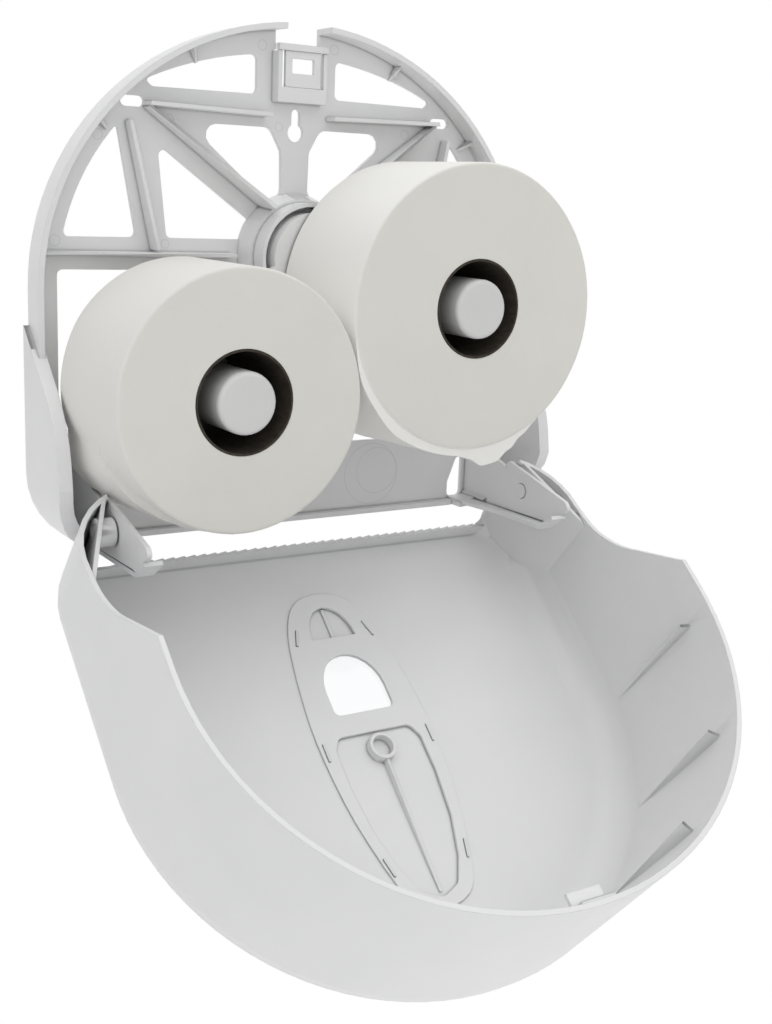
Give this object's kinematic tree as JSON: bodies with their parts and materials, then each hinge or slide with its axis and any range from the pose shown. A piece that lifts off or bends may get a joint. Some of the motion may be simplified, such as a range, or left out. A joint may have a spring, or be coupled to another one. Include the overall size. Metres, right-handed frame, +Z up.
{
  "type": "toilet roll dispenser",
  "caption": "Wall-mounted twin toilet roll dispenser with ribbed back chassis, two rolls on a rocking carrier and a hinged arched front cover swung open.",
  "frame": {"origin": "on the chassis centre column, on the flat back face that lies against the wall", "axes": "+X to the right seen from the front, +Y into the wall, +Z up"},
  "size_m": [0.3562, 0.3454, 0.535],
  "materials": {
    "white_plastic": "satin moulded",
    "clear_plastic": "clear, polished",
    "tissue_paper": "soft, matte, lightly wrinkled",
    "cardboard": "matte grey-brown board"
  },
  "bodies": {
    "chassis": {"chassis": "white_plastic"},
    "latch": {"latch_tongue": "white_plastic"},
    "carrier": {"roll_carrier": "white_plastic", "carrier_retaining_ring": "white_plastic", "spindle_left": "white_plastic", "spindle_right": "white_plastic"},
    "roll_left": {"roll_core_left": "cardboard", "tissue_roll_left": "tissue_paper"},
    "roll_right": {"roll_core_right": "cardboard", "tissue_roll_right": "tissue_paper"},
    "cover": {"front_cover": "white_plastic", "front_trim": "white_plastic", "sight_window": "clear_plastic", "hinge_pin_left": "white_plastic", "hinge_pin_right": "white_plastic"}
  },
  "joints": [
    {"name": "cover_hinge", "type": "hinge", "parent": "chassis", "child": "cover", "pos_m": [0, -0.0716, -0.2082], "axis": [1, 0, 0], "range_deg": [-130.8, 0]},
    {"name": "carrier_rock", "type": "hinge", "parent": "chassis", "child": "carrier", "pos_m": [0, -0.02, -0.0537], "axis": [0, -1, 0], "range_deg": [0, 6]},
    {"name": "roll_left_spin", "type": "hinge", "parent": "carrier", "child": "roll_left", "pos_m": [-0.093, -0.0795, -0.128], "axis": [0, -1, 0], "continuous": true},
    {"name": "roll_right_spin", "type": "hinge", "parent": "carrier", "child": "roll_right", "pos_m": [0.0635, -0.0795, -0.0775], "axis": [0, -1, 0], "continuous": true},
    {"name": "latch_flex", "type": "hinge", "parent": "chassis", "child": "latch", "pos_m": [0, -0.01025, 0.0513], "axis": [1, 0, 0], "range_deg": [-6, 0], "stiffness_Nm_per_rad": 2.3}
  ]
}
